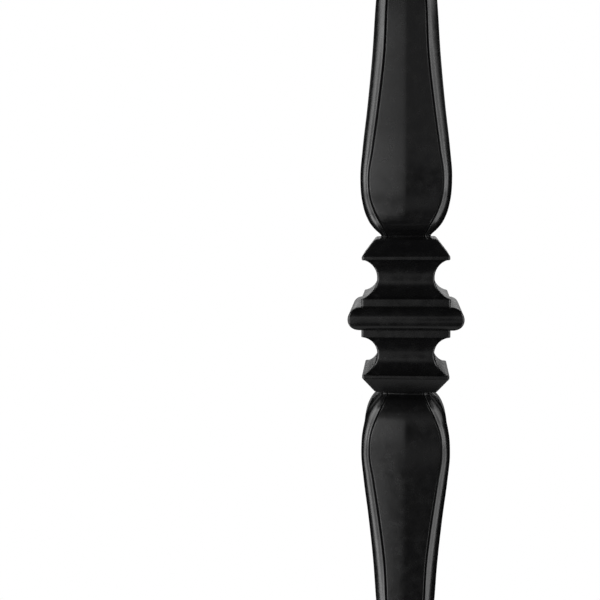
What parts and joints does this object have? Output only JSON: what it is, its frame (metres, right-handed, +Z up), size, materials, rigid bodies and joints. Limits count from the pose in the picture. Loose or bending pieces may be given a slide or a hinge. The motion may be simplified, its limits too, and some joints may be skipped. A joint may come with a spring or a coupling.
{
  "type": "stair spindle",
  "caption": "Square metal stair spindle with a moulded knuckle between a swelling, panelled spoon above and below, and a turned pin at its top end.",
  "frame": {"origin": "centre of the sawn foot of the square bar", "axes": "+Z up along the bar to the pin, X and Y square on to its flat sides"},
  "size_m": [0.0382, 0.0382, 1.118],
  "materials": {
    "satin_black_coat": "satin"
  },
  "bodies": {
    "root": {"spindle": "satin_black_coat"}
  },
  "joints": []
}
